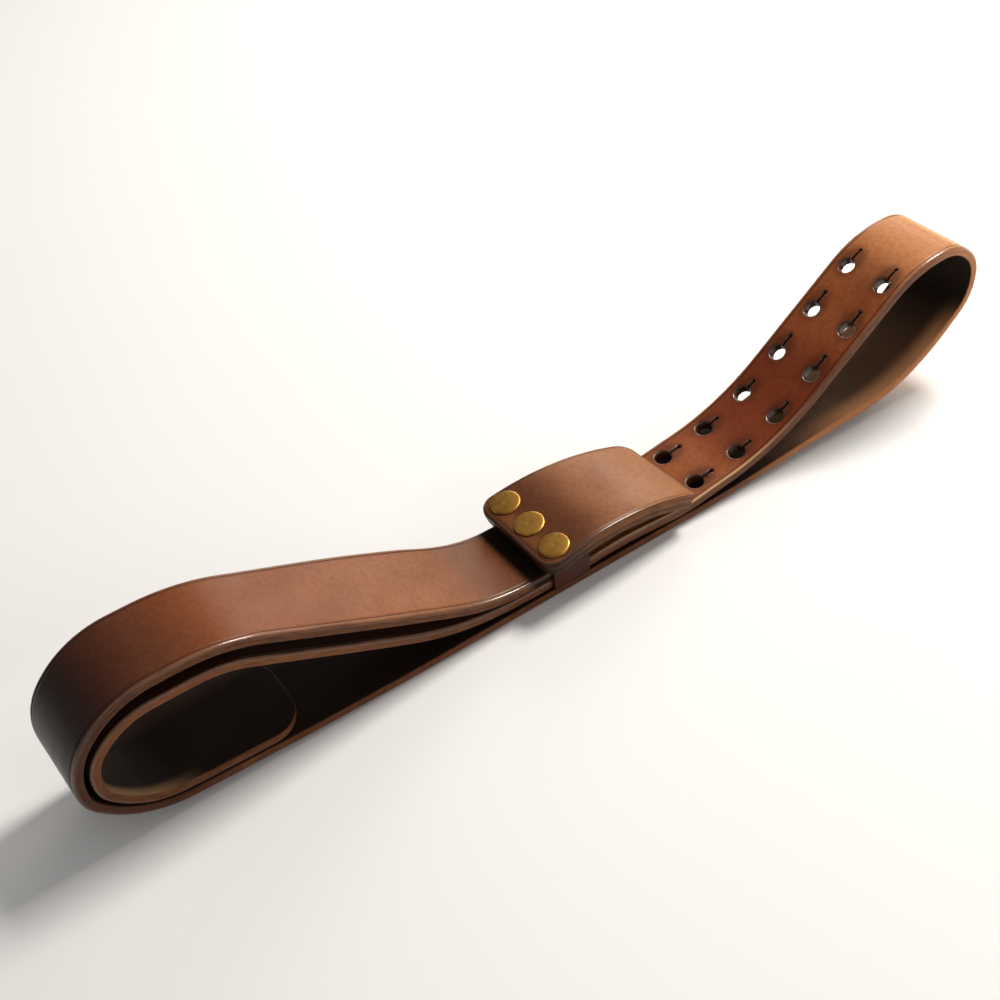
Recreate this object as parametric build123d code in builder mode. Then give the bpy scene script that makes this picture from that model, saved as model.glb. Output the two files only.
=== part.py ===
"""A belt-like leather strop: one long strap folded into a flattened oblong loop and held closed by a
two-ply leather cover plate, three brass rivets, a leather keeper and two hidden studs.

Millimetres, +Z up.  X runs along the strop, Y across its width, and Z = 0 is the surface it lies on.
The origin is below the middle of the strop.  The strap's free tip is inside the left (-X) loop.
"""
import math
import os

from build123d import *

# ---- driving dimensions -------------------------------------------------------------------------
STRAP_WIDTH = 38.0
STRAP_THICKNESS = 4.3
TIP_CORNER_RADIUS = 13.0

# Centreline of the strap in (x, z), from the riveted end under the plate, round the left bend, along
# the bottom, round the right bend, back under the plate and through the keeper, to the free tip.
ARM_END_X = -9.0
ARM_Z = 12.4
BOTTOM_Z = STRAP_THICKNESS / 2
TAIL_Z = 8.05
BEND_X = 218.3
ROUTE = [
    (ARM_END_X, ARM_Z),
    (-45.0, ARM_Z),
    (-157.8, 66.8),
    (-198.6, 66.8),
    (-BEND_X, 47.2),
    (-BEND_X, 27.4),
    (-200.5, 7.6),
    (-94.7, BOTTOM_Z),
    (72.0, BOTTOM_Z),
    (183.5, 9.0),
    (BEND_X, 39.1),
    (BEND_X, 56.8),
    (205.8, 69.1),
    (180.0, 69.1),
    (101.0, 13.2),
    (50.5, 6.45),
    (18.0, 8.8),
    (-4.0, TAIL_Z),
    (-58.0, TAIL_Z),
    (-159.6, 57.0),
    (-198.0, 57.0),
    (-212.2, 43.0),
    (-212.2, 28.2),
    (-197.3, 12.25),
    (-133.5, 8.85),
]
ROUTE_RADII = [
    80, 75, 36, 28, 17, 42, 500, 500, 85, 20, 17, 21, 50, 110, 70, 120, 150, 140, 50, 28, 17, 15, 32,
]

# Keyholes: round holes in pairs, each with a slit that points back towards the right bend.
HOLE_PITCH = 24.1
HOLE_SPACING = 21.0
HOLE_DIAMETER = 7.4
HOLE_PAIRS = 8
FIRST_HOLE_FROM_ARM_END = 769.4
STUDDED_PAIR = 6
SLIT_LENGTH = 9.2
SLIT_WIDTH = 1.0
SLIT_END_DIAMETER = 1.8

# Cover plate: two plies bent to one arc about an axis along Y, split at the line where it flexes.
# It is widest at its left end and narrows evenly to the right.
PLATE_LEFT_WIDTH = 50.6
PLATE_RIGHT_WIDTH = 43.5
PLY_THICKNESS = 3.6
PLATE_ARC_X = 3.0
PLATE_ARC_Z = -92.24
PLATE_UNDERSIDE_RADIUS = 112.0
PLATE_LEFT_X = -25.2
PLATE_RIGHT_X = 50.8
PLATE_LEFT_CORNER_RADIUS = 7.5
PLATE_END_SKEW = 2.6
NEAR_CORNER_RADIUS = 1.5
FAR_CORNER_RADIUS = 7.0
FLEX_X = -5.0
FLEX_GAP = 0.3
LIFT_LIMIT = 25.0

# Keeper: a leather band round the riveted end and the tail.
KEEPER_LEFT_X = -20.5
KEEPER_LENGTH = 18.0
KEEPER_WALL = 1.4
KEEPER_SIDE_CLEARANCE = 0.3
KEEPER_LAYER_CLEARANCE = 0.1
KEEPER_CORNER_RADIUS = 1.6

# Rivets: a low brass cap on the plate, and a post with a flat foot sunk in the strap's flesh side.
RIVET_X = -16.7
RIVET_PITCH = 16.5
CAP_DIAMETER = 13.0
CAP_HEIGHT = 1.35
CAP_SEAT_GAP = 0.03
POST_DIAMETER = 3.0
POST_CLEARANCE = 0.1
FOOT_DIAMETER = 4.8
FOOT_THICKNESS = 0.9
FOOT_CLEARANCE = 0.1

# Studs: one for each hole of the studded pair, held to the backing ply by a flat-headed screw.
STUD_HEAD_DIAMETER = 5.0
STUD_HEAD_THICKNESS = 0.8
STUD_NECK_DIAMETER = 3.2
STUD_FLANGE_DIAMETER = 7.0
STUD_FLANGE_THICKNESS = 0.8
STUD_HEAD_BELOW_STRAP = -1.0
SCREW_HEAD_DIAMETER = 6.0
SCREW_HEAD_THICKNESS = 0.8
SCREW_SHANK_DIAMETER = 1.6
SCREW_DEPTH_IN_STUD = 4.0
SCREW_CLEARANCE = 0.05

# ---- places worked out from them ----------------------------------------------------------------
HALF_THICKNESS = STRAP_THICKNESS / 2
INTERFACE_RADIUS = PLATE_UNDERSIDE_RADIUS + PLY_THICKNESS
PLATE_TOP_RADIUS = PLATE_UNDERSIDE_RADIUS + 2 * PLY_THICKNESS
RIVET_YS = {"near": -RIVET_PITCH, "mid": 0.0, "far": RIVET_PITCH}
STUD_YS = {"near": -HOLE_SPACING / 2, "far": HOLE_SPACING / 2}


def bend_angle(x, radius=INTERFACE_RADIUS):
    """Angle about the plate's arc axis, in degrees clockwise from straight up, at x on a radius."""
    return math.degrees(math.asin((x - PLATE_ARC_X) / radius))


def plate_plane(angle, radius, y=0.0):
    """Plane touching the plate's arc at that angle: local x along the arc, local z outwards."""
    turn = math.radians(angle)
    outward = Vector(math.sin(turn), 0, math.cos(turn))
    along = Vector(math.cos(turn), 0, -math.sin(turn))
    return Plane(
        origin=Vector(PLATE_ARC_X, y, PLATE_ARC_Z) + outward * radius, x_dir=along, z_dir=outward
    )


with BuildLine(Plane.XZ) as centreline:
    FilletPolyline(*ROUTE, radius=ROUTE_RADII)
strap_path = centreline.wires()[0]


def strap_plane(distance):
    """Plane in the strap's middle at a distance from the riveted end: local x points back along it."""
    back = -strap_path.tangent_at(distance, position_mode=PositionMode.LENGTH)
    return Plane(
        origin=strap_path.position_at(distance, position_mode=PositionMode.LENGTH),
        x_dir=back,
        z_dir=back.cross(Vector(0, 1, 0)),
    )


RIVET_ANGLE = bend_angle(RIVET_X, PLATE_TOP_RADIUS)
FOOT_BOTTOM_Z = ARM_Z - HALF_THICKNESS + FOOT_CLEARANCE / 2
FOOT_TOP_Z = FOOT_BOTTOM_Z + FOOT_THICKNESS
# Where the slanting rivet axis meets the top of the foot.
FOOT_X = PLATE_ARC_X + (FOOT_TOP_Z - PLATE_ARC_Z) * math.tan(math.radians(RIVET_ANGLE))
POST_LENGTH = PLATE_TOP_RADIUS - (FOOT_TOP_Z - PLATE_ARC_Z) / math.cos(math.radians(RIVET_ANGLE))

studded_plane = strap_plane(FIRST_HOLE_FROM_ARM_END + STUDDED_PAIR * HOLE_PITCH)
# The stud axis is square to the plate and goes through the middle of its hole.
STUD_ANGLE = math.degrees(
    math.atan2(studded_plane.origin.X - PLATE_ARC_X, studded_plane.origin.Z - PLATE_ARC_Z)
)
STUD_MIDDLE_RADIUS = math.hypot(
    studded_plane.origin.X - PLATE_ARC_X, studded_plane.origin.Z - PLATE_ARC_Z
)
STUD_HEAD_TOP_RADIUS = STUD_MIDDLE_RADIUS - (
    HALF_THICKNESS + STUD_HEAD_BELOW_STRAP
) / math.cos(math.radians(STUD_ANGLE))

# ---- strap --------------------------------------------------------------------------------------
with BuildPart() as strap:
    with BuildSketch(Plane.XZ) as strap_profile:
        with BuildLine() as strap_centreline:
            FilletPolyline(*ROUTE, radius=ROUTE_RADII)
        trace(line_width=STRAP_THICKNESS)
    extrude(amount=STRAP_WIDTH / 2, both=True)
    tip_face = strap.faces().sort_by_distance(strap_path @ 1)[0]
    fillet(tip_face.edges().sort_by(SortBy.LENGTH)[:2], radius=TIP_CORNER_RADIUS)
    for pair in range(HOLE_PAIRS):
        with BuildSketch(strap_plane(FIRST_HOLE_FROM_ARM_END + pair * HOLE_PITCH)) as keyhole:
            with Locations((0, -HOLE_SPACING / 2), (0, HOLE_SPACING / 2)):
                Circle(HOLE_DIAMETER / 2)
                Rectangle(SLIT_LENGTH, SLIT_WIDTH, align=(Align.MIN, Align.CENTER))
            with Locations((SLIT_LENGTH, -HOLE_SPACING / 2), (SLIT_LENGTH, HOLE_SPACING / 2)):
                Circle(SLIT_END_DIAMETER / 2)
        extrude(amount=HALF_THICKNESS + 0.35, both=True, mode=Mode.SUBTRACT)
    with BuildSketch(plate_plane(RIVET_ANGLE, PLATE_TOP_RADIUS)) as strap_post_holes:
        with GridLocations(0, RIVET_PITCH, 1, 3):
            Circle(POST_DIAMETER / 2 + POST_CLEARANCE)
    extrude(amount=-POST_LENGTH, mode=Mode.SUBTRACT)
    with BuildSketch(Plane.XY.offset(FOOT_BOTTOM_Z)) as foot_recesses:
        with Locations(*[(FOOT_X, y) for y in RIVET_YS.values()]):
            Circle(FOOT_DIAMETER / 2 + FOOT_CLEARANCE)
    extrude(amount=FOOT_THICKNESS + FOOT_CLEARANCE / 2, mode=Mode.SUBTRACT)
    with BuildSketch(Plane.XY.offset(ARM_Z - HALF_THICKNESS)) as foot_recess_mouths:
        with Locations(*[(FOOT_X, y) for y in RIVET_YS.values()]):
            Circle(FOOT_DIAMETER / 2 + FOOT_CLEARANCE)
    extrude(amount=FOOT_CLEARANCE, mode=Mode.SUBTRACT)
strap.part.label = "strap"

# ---- keeper -------------------------------------------------------------------------------------
keeper_inner_width = STRAP_WIDTH + 2 * KEEPER_SIDE_CLEARANCE
keeper_inner_bottom = TAIL_Z - HALF_THICKNESS - KEEPER_LAYER_CLEARANCE
keeper_inner_top = ARM_Z + HALF_THICKNESS + KEEPER_LAYER_CLEARANCE
keeper_inner_height = keeper_inner_top - keeper_inner_bottom
with BuildPart() as keeper:
    with BuildSketch(Plane.YZ.offset(KEEPER_LEFT_X)) as keeper_section:
        with Locations((0, (keeper_inner_top + keeper_inner_bottom) / 2)):
            RectangleRounded(
                keeper_inner_width + 2 * KEEPER_WALL,
                keeper_inner_height + 2 * KEEPER_WALL,
                KEEPER_CORNER_RADIUS,
            )
            Rectangle(keeper_inner_width, keeper_inner_height, mode=Mode.SUBTRACT)
    extrude(amount=KEEPER_LENGTH)
    with BuildSketch(plate_plane(RIVET_ANGLE, PLATE_TOP_RADIUS)) as keeper_post_holes:
        with GridLocations(0, RIVET_PITCH, 1, 3):
            Circle(POST_DIAMETER / 2 + POST_CLEARANCE)
    extrude(amount=-POST_LENGTH, mode=Mode.SUBTRACT)
keeper.part.label = "keeper"

# ---- cover plate --------------------------------------------------------------------------------


def ply_section(inner_radius, outer_radius, start_inner, start_outer, end):
    """Flat section of a bent strip between two radii; angles are clockwise from straight up."""
    centre = (PLATE_ARC_X, PLATE_ARC_Z)
    with BuildSketch() as section:
        with BuildLine() as outline:
            inner = CenterArc(centre, inner_radius, 90 - end, end - start_inner)
            outer = CenterArc(centre, outer_radius, 90 - end, end - start_outer)
            Line(inner @ 0, outer @ 0)
            Line(inner @ 1, outer @ 1)
        make_face()
    return section.sketch


def tapered_plan():
    """The plate seen from above, a little longer at both ends."""
    taper = (PLATE_RIGHT_WIDTH - PLATE_LEFT_WIDTH) / (PLATE_RIGHT_X - PLATE_LEFT_X)
    beyond = 5.0
    left_half = (PLATE_LEFT_WIDTH - taper * beyond) / 2
    right_half = (PLATE_RIGHT_WIDTH + taper * beyond) / 2
    left_x = PLATE_LEFT_X - beyond
    right_x = PLATE_RIGHT_X + beyond
    with BuildSketch() as plan:
        with BuildLine():
            Polyline(
                (left_x, -left_half),
                (right_x, -right_half),
                (right_x, right_half),
                (left_x, left_half),
                close=True,
            )
        make_face()
    return plan.sketch


plate_plan = tapered_plan()
plate_start = bend_angle(PLATE_LEFT_X)
plate_end = bend_angle(PLATE_RIGHT_X)
beyond_end = plate_end + 2
end_seat = plate_plane(plate_end, INTERFACE_RADIUS)
# The right end is cut a little askew: it reaches further right on the near (-Y) side.
end_normal = end_seat.x_dir + Vector(0, PLATE_END_SKEW / PLATE_RIGHT_WIDTH, 0)
end_cut = Plane(origin=end_seat.origin, x_dir=end_seat.z_dir, z_dir=end_normal)
flex_angle = bend_angle(FLEX_X)
gap_angle = math.degrees(FLEX_GAP / INTERFACE_RADIUS)
# The cover ply's gap opens upwards, so that it closes but doesn't meet when the flap is lifted.
notch_angle = gap_angle + math.degrees(
    PLY_THICKNESS * math.tan(math.radians(LIFT_LIMIT)) / PLATE_TOP_RADIUS
)

with BuildPart() as backing_ply_heel:
    with BuildSketch(Plane.XZ) as backing_heel_profile:
        add(ply_section(PLATE_UNDERSIDE_RADIUS, INTERFACE_RADIUS, plate_start, plate_start, flex_angle))
    extrude(amount=PLATE_LEFT_WIDTH, both=True)
    extrude(plate_plan, amount=PLATE_LEFT_WIDTH, both=True, mode=Mode.INTERSECT)
    backing_end = backing_ply_heel.faces().sort_by(Axis.X)[0]
    fillet(backing_end.edges().sort_by(SortBy.LENGTH)[:2], radius=PLATE_LEFT_CORNER_RADIUS)
    with BuildSketch(plate_plane(RIVET_ANGLE, PLATE_TOP_RADIUS)) as backing_post_holes:
        with GridLocations(0, RIVET_PITCH, 1, 3):
            Circle(POST_DIAMETER / 2 + POST_CLEARANCE)
    extrude(amount=-POST_LENGTH, mode=Mode.SUBTRACT)
backing_ply_heel.part.label = "backing_ply_heel"

with BuildPart() as cover_ply_heel:
    with BuildSketch(Plane.XZ) as cover_heel_profile:
        add(ply_section(INTERFACE_RADIUS, PLATE_TOP_RADIUS, plate_start, plate_start, flex_angle))
    extrude(amount=PLATE_LEFT_WIDTH, both=True)
    extrude(plate_plan, amount=PLATE_LEFT_WIDTH, both=True, mode=Mode.INTERSECT)
    cover_end = cover_ply_heel.faces().sort_by(Axis.X)[0]
    fillet(cover_end.edges().sort_by(SortBy.LENGTH)[:2], radius=PLATE_LEFT_CORNER_RADIUS)
    with BuildSketch(plate_plane(RIVET_ANGLE, PLATE_TOP_RADIUS)) as cover_post_holes:
        with GridLocations(0, RIVET_PITCH, 1, 3):
            Circle(POST_DIAMETER / 2 + POST_CLEARANCE)
    extrude(amount=-POST_LENGTH, mode=Mode.SUBTRACT)
cover_ply_heel.part.label = "cover_ply_heel"

with BuildPart() as backing_ply_flap:
    with BuildSketch(Plane.XZ) as backing_flap_profile:
        flap_start = flex_angle + gap_angle
        add(ply_section(PLATE_UNDERSIDE_RADIUS, INTERFACE_RADIUS, flap_start, flap_start, beyond_end))
    extrude(amount=PLATE_LEFT_WIDTH, both=True)
    extrude(plate_plan, amount=PLATE_LEFT_WIDTH, both=True, mode=Mode.INTERSECT)
    split(bisect_by=end_cut, keep=Keep.BOTTOM)
    backing_tip = backing_ply_flap.faces().sort_by(Axis.X)[-1]
    backing_corners = backing_tip.edges().sort_by(SortBy.LENGTH)[:2].sort_by(Axis.Y)
    fillet(backing_corners[0], radius=NEAR_CORNER_RADIUS)
    fillet(backing_corners[1], radius=FAR_CORNER_RADIUS)
    with BuildSketch(plate_plane(STUD_ANGLE, INTERFACE_RADIUS)) as screw_head_recesses:
        with Locations(*[(0, y) for y in STUD_YS.values()]):
            Circle(SCREW_HEAD_DIAMETER / 2 + SCREW_CLEARANCE)
    extrude(amount=-SCREW_HEAD_THICKNESS - SCREW_CLEARANCE, both=True, mode=Mode.SUBTRACT)
    with BuildSketch(plate_plane(STUD_ANGLE, INTERFACE_RADIUS)) as screw_shank_holes:
        with Locations(*[(0, y) for y in STUD_YS.values()]):
            Circle(SCREW_SHANK_DIAMETER / 2 + SCREW_CLEARANCE)
    extrude(amount=-2 * PLY_THICKNESS, mode=Mode.SUBTRACT)
backing_ply_flap.part.label = "backing_ply_flap"

with BuildPart() as cover_ply_flap:
    with BuildSketch(Plane.XZ) as cover_flap_profile:
        notch_start = flex_angle + notch_angle
        add(ply_section(INTERFACE_RADIUS, PLATE_TOP_RADIUS, flap_start, notch_start, beyond_end))
    extrude(amount=PLATE_LEFT_WIDTH, both=True)
    extrude(plate_plan, amount=PLATE_LEFT_WIDTH, both=True, mode=Mode.INTERSECT)
    split(bisect_by=end_cut, keep=Keep.BOTTOM)
    cover_tip = cover_ply_flap.faces().sort_by(Axis.X)[-1]
    cover_corners = cover_tip.edges().sort_by(SortBy.LENGTH)[:2].sort_by(Axis.Y)
    fillet(cover_corners[0], radius=NEAR_CORNER_RADIUS)
    fillet(cover_corners[1], radius=FAR_CORNER_RADIUS)
cover_ply_flap.part.label = "cover_ply_flap"

# ---- rivets -------------------------------------------------------------------------------------
caps = {}
posts = {}
for side, y in RIVET_YS.items():
    seat = plate_plane(RIVET_ANGLE, PLATE_TOP_RADIUS + CAP_SEAT_GAP, y)
    # Section plane of the turned cap: local x is the radius and local y is the height.
    section = Plane(origin=seat.origin, x_dir=seat.x_dir, z_dir=-seat.y_dir)
    cap_radius = CAP_DIAMETER / 2
    with BuildPart() as cap:
        with BuildSketch(section) as cap_profile:
            with BuildLine() as cap_outline:
                Line((0, 0), (cap_radius, 0))
                Line((cap_radius, 0), (cap_radius, CAP_HEIGHT / 3))
                rim = RadiusArc((cap_radius, CAP_HEIGHT / 3), (cap_radius * 0.87, CAP_HEIGHT), -1.1)
                crown = ThreePointArc(
                    rim @ 1, (cap_radius * 0.5, CAP_HEIGHT * 0.93), (cap_radius * 0.1, CAP_HEIGHT)
                )
                Line(crown @ 1, (0, CAP_HEIGHT * 0.85))
                Line((0, CAP_HEIGHT * 0.85), (0, 0))
            make_face()
        revolve(axis=Axis(seat.origin, seat.z_dir))
    cap.part.label = "rivet_cap_" + side
    caps[side] = cap.part

    with BuildPart() as post:
        with BuildSketch(plate_plane(RIVET_ANGLE, PLATE_TOP_RADIUS, y)) as shank_section:
            Circle(POST_DIAMETER / 2)
        extrude(amount=-POST_LENGTH)
        with BuildSketch(Plane.XY.offset(FOOT_BOTTOM_Z)) as foot_section:
            with Locations((FOOT_X, y)):
                Circle(FOOT_DIAMETER / 2)
        extrude(amount=FOOT_THICKNESS)
    post.part.label = "rivet_post_" + side
    posts[side] = post.part

# ---- studs and their screws ---------------------------------------------------------------------
studs = {}
screws = {}
for side, y in STUD_YS.items():
    flange_top = PLATE_UNDERSIDE_RADIUS - SCREW_CLEARANCE
    with BuildPart() as stud:
        with BuildSketch(plate_plane(STUD_ANGLE, flange_top, y)) as flange_section:
            Circle(STUD_FLANGE_DIAMETER / 2)
        extrude(amount=-STUD_FLANGE_THICKNESS)
        with BuildSketch(plate_plane(STUD_ANGLE, flange_top, y)) as neck_section:
            Circle(STUD_NECK_DIAMETER / 2)
        extrude(amount=-(flange_top - STUD_HEAD_TOP_RADIUS))
        with BuildSketch(plate_plane(STUD_ANGLE, STUD_HEAD_TOP_RADIUS, y)) as head_section:
            Circle(STUD_HEAD_DIAMETER / 2)
        extrude(amount=-STUD_HEAD_THICKNESS)
        fillet(stud.faces().sort_by(Axis.Z)[0].edges(), radius=STUD_HEAD_THICKNESS / 3)
        with BuildSketch(plate_plane(STUD_ANGLE, flange_top, y)) as screw_bore:
            Circle(SCREW_SHANK_DIAMETER / 2 + SCREW_CLEARANCE)
        extrude(amount=-SCREW_DEPTH_IN_STUD - SCREW_CLEARANCE, mode=Mode.SUBTRACT)
    stud.part.label = "stud_" + side
    studs[side] = stud.part

    with BuildPart() as screw:
        with BuildSketch(plate_plane(STUD_ANGLE, INTERFACE_RADIUS - SCREW_CLEARANCE, y)) as flat_head:
            Circle(SCREW_HEAD_DIAMETER / 2)
        extrude(amount=-SCREW_HEAD_THICKNESS)
        with BuildSketch(plate_plane(STUD_ANGLE, INTERFACE_RADIUS - SCREW_CLEARANCE, y)) as shank:
            Circle(SCREW_SHANK_DIAMETER / 2)
        extrude(amount=-(PLY_THICKNESS + SCREW_DEPTH_IN_STUD))
    screw.part.label = "stud_screw_" + side
    screws[side] = screw.part

# ---- write one file for each sub-part -----------------------------------------------------------
os.makedirs("parts", exist_ok=True)
export_step(strap.part, "parts/strap.step")
export_step(keeper.part, "parts/keeper.step")
export_step(backing_ply_heel.part, "parts/backing_ply_heel.step")
export_step(cover_ply_heel.part, "parts/cover_ply_heel.step")
export_step(backing_ply_flap.part, "parts/backing_ply_flap.step")
export_step(cover_ply_flap.part, "parts/cover_ply_flap.step")
for side in RIVET_YS:
    export_step(caps[side], f"parts/rivet_cap_{side}.step")
    export_step(posts[side], f"parts/rivet_post_{side}.step")
for side in STUD_YS:
    export_step(studs[side], f"parts/stud_{side}.step")
    export_step(screws[side], f"parts/stud_screw_{side}.step")
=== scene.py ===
"""Looks of the belt-like leather strop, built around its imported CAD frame.

Blender works in metres, in the row frame, and sizes here are in millimetres unless a comment says
otherwise.  The strap, both plies of the cover plate, the keeper and the rivet caps are remade as finer
meshes in the places of their CAD nodes.  The rivet posts, studs and stud screws keep their CAD meshes.
"""

import math
from contextlib import contextmanager

import bmesh
import bpy
from mathutils import Matrix, Vector


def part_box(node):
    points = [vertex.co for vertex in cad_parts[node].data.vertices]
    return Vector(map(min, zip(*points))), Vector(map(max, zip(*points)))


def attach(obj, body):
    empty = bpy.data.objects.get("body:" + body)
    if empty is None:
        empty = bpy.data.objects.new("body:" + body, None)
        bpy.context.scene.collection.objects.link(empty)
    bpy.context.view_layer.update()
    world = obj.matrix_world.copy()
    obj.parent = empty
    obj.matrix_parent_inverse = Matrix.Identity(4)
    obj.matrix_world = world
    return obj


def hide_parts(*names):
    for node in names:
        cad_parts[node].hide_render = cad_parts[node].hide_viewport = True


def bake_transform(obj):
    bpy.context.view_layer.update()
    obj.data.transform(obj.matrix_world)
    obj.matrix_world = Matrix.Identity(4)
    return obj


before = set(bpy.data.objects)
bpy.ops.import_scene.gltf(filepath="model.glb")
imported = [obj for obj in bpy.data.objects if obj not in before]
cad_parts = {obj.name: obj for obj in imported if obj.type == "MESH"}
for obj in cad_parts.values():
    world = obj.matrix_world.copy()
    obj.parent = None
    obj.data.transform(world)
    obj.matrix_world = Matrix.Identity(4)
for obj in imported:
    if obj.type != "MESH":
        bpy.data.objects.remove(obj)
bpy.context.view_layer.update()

MM = 0.001
# The maps that carry places on the leather to its materials hold decimetres.
MAP_SCALE = 0.01
# Edges that turn by more degrees than this are shaded as sharp.
SHARP_ANGLE = 38.0

# ---- sizes taken from the CAD part, in millimetres -----------------------------------------------
STRAP_WIDTH = 38.0
STRAP_THICKNESS = 4.3
BEND_X = 218.3
ROUTE = [
    (-9.0, 12.4),
    (-45.0, 12.4),
    (-157.8, 66.8),
    (-198.6, 66.8),
    (-BEND_X, 47.2),
    (-BEND_X, 27.4),
    (-200.5, 7.6),
    (-94.7, 2.15),
    (72.0, 2.15),
    (183.5, 9.0),
    (BEND_X, 39.1),
    (BEND_X, 56.8),
    (205.8, 69.1),
    (180.0, 69.1),
    (101.0, 13.2),
    (50.5, 6.45),
    (18.0, 8.8),
    (-4.0, 8.05),
    (-58.0, 8.05),
    (-159.6, 57.0),
    (-198.0, 57.0),
    (-212.2, 43.0),
    (-212.2, 28.2),
    (-197.3, 12.25),
    (-133.5, 8.85),
]
ROUTE_RADII = [
    80, 75, 36, 28, 17, 42, 500, 500, 85, 20, 17, 21, 50, 110, 70, 120, 150, 140, 50, 28, 17, 15, 32,
]
HOLE_PITCH = 24.1
HOLE_SPACING = 21.0
HOLE_DIAMETER = 7.4
HOLE_PAIRS = 8
FIRST_HOLE_AT = 769.4
SLIT_LENGTH = 9.2
# The slits and their round ends are a little finer here than in the CAD strap.
SLIT_WIDTH = 0.75
SLIT_END_DIAMETER = 1.6
TIP_LENGTH = 14.0
TIP_FLAT_HALF = 5.0

PLATE_LEFT_WIDTH = 50.6
PLATE_RIGHT_WIDTH = 43.5
PLATE_LEFT_CORNER_RADIUS = 7.5
PLATE_END_SKEW = 2.6
NEAR_CORNER_RADIUS = 1.5
FAR_CORNER_RADIUS = 7.0
PLY_THICKNESS = 3.6
PLATE_ARC_X = 3.0
PLATE_ARC_Z = -92.24
PLATE_RADIUS = 112.0
PLATE_LEFT_X = -25.2
PLATE_RIGHT_X = 50.8
RIVET_X = -16.7
RIVET_PITCH = 16.5
CAP_RADIUS = 6.5


# ---- mesh helpers --------------------------------------------------------------------------------


@contextmanager
def edited(obj):
    """The object's mesh, open for editing inside a with block and written back after it."""
    bm = bmesh.new()
    bm.from_mesh(obj.data)
    yield bm
    bm.to_mesh(obj.data)
    bm.free()


def new_object(name, verts, faces, uvs=None):
    """Mesh object from points in millimetres; uvs maps a layer's name to one (u, v) for each point."""
    mesh = bpy.data.meshes.new(name)
    mesh.from_pydata([[c * MM for c in v] for v in verts], [], faces)
    for layer_name, values in (uvs or {}).items():
        layer = mesh.uv_layers.new(name=layer_name)
        for loop in mesh.loops:
            layer.data[loop.index].uv = values[loop.vertex_index]
    mesh.validate()
    obj = bpy.data.objects.new(name, mesh)
    bpy.context.scene.collection.objects.link(obj)
    fix_normals(obj)
    smooth(obj)
    return obj


def fix_normals(obj):
    """Turns every face outwards."""
    with edited(obj) as bm:
        bmesh.ops.recalc_face_normals(bm, faces=bm.faces)


def smooth(obj):
    """Smooth shading, apart from the sharp edges."""
    limit = math.radians(SHARP_ANGLE)
    with edited(obj) as bm:
        for face in bm.faces:
            face.smooth = True
        for edge in bm.edges:
            edge.smooth = len(edge.link_faces) == 2 and edge.calc_face_angle(0.0) < limit


def apply_modifiers(obj):
    """Replaces the object's mesh by its evaluated one, with no modifiers left."""
    bpy.context.view_layer.update()
    evaluated = obj.evaluated_get(bpy.context.evaluated_depsgraph_get())
    mesh = bpy.data.meshes.new_from_object(evaluated)
    obj.modifiers.clear()
    obj.data = mesh


def arc_points(radius, centre_x, centre_y, start, end, count):
    """Points on an arc in a plane, with angles in degrees."""
    points = []
    for i in range(count + 1):
        turn = math.radians(start + (end - start) * i / count)
        points.append((centre_x + radius * math.cos(turn), centre_y + radius * math.sin(turn)))
    return points


def band_faces(rings):
    """Quads between each ring of points and the next."""
    faces = []
    for low, high in zip(rings, rings[1:]):
        for i in range(len(low)):
            j = (i + 1) % len(low)
            faces.append((low[i], low[j], high[j], high[i]))
    return faces


def lathe(name, profile, segments, placement, material):
    """Turned piece from a closed (radius, height) profile that starts and ends on the axis."""
    verts = []
    rings = []
    for radius, height in profile:
        if radius == 0:
            rings.append([len(verts)] * segments)
            verts.append((0.0, 0.0, height))
            continue
        ring = []
        for i in range(segments):
            turn = 2 * math.pi * i / segments
            ring.append(len(verts))
            verts.append((radius * math.cos(turn), radius * math.sin(turn), height))
        rings.append(ring)
    # Beside the axis two of a quad's corners are one point, which leaves a triangle.
    faces = [list(dict.fromkeys(corners)) for corners in band_faces(rings)]
    placed = [tuple(placement @ Vector(v)) for v in verts]
    obj = new_object(name, placed, faces)
    obj.data.materials.append(material)
    return obj


def placement_matrix(x_axis, y_axis, z_axis, origin):
    """Matrix that turns x, y and z to three directions and moves zero to the origin."""
    matrix = Matrix((x_axis, y_axis, z_axis)).transposed().to_4x4()
    matrix.translation = origin
    return matrix


# ---- the strap's centreline ----------------------------------------------------------------------


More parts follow.
